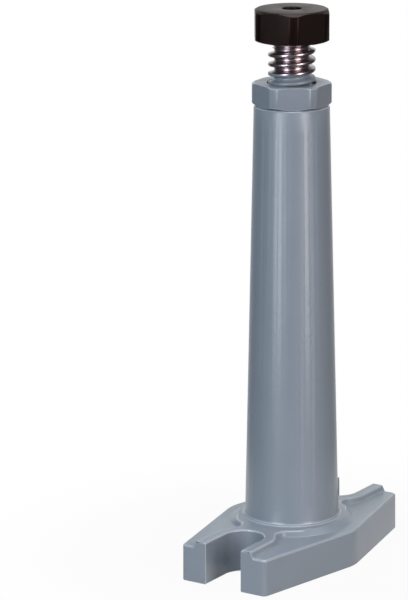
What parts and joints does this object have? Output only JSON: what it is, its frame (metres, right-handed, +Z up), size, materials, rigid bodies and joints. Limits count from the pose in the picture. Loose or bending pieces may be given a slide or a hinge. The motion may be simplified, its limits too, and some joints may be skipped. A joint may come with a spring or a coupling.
{
  "type": "machinist jack",
  "caption": "Tall screw jack for clamping and levelling work: hollow cast column on a forked base with open clamping slots, coarse trapezoidal screw, lock nut and hexagon head.",
  "frame": {"origin": "on the column's axis, in the plane of the base's underside", "axes": "+Z up along the screw, X along the base through both clamping slots"},
  "size_m": [0.164, 0.0948, 0.3575],
  "materials": {
    "enamel": "glossy blue-grey enamel over cast iron and over the nut",
    "bright_steel": "bright turned steel, lightly oiled",
    "black_oxide": "black oxide on hardened steel, slightly glossy"
  },
  "bodies": {
    "casting": {"base_column": "enamel"},
    "lock_nut": {"lock_nut": "enamel"},
    "end_stop": {"stop_washer": "bright_steel"},
    "screw": {"spindle": "bright_steel", "hex_head": "black_oxide"}
  },
  "joints": [
    {"name": "lock_nut_lift", "type": "slide", "parent": "casting", "child": "lock_nut", "axis": [0, 0, 1], "range_m": [0, 0.006]},
    {"name": "screw_lift", "type": "slide", "parent": "casting", "child": "end_stop", "axis": [0, 0, 1], "range_m": [-0.0205, 0.1925]},
    {"name": "screw_turn", "type": "hinge", "parent": "end_stop", "child": "screw", "pos_m": [0, 0, 0.0464], "axis": [0, 0, 1], "range_deg": [-1230, 11550]}
  ],
  "couplings": [
    {"joint": "screw_lift", "follows": "screw_turn", "m_per_rad": 0.00095493}
  ]
}
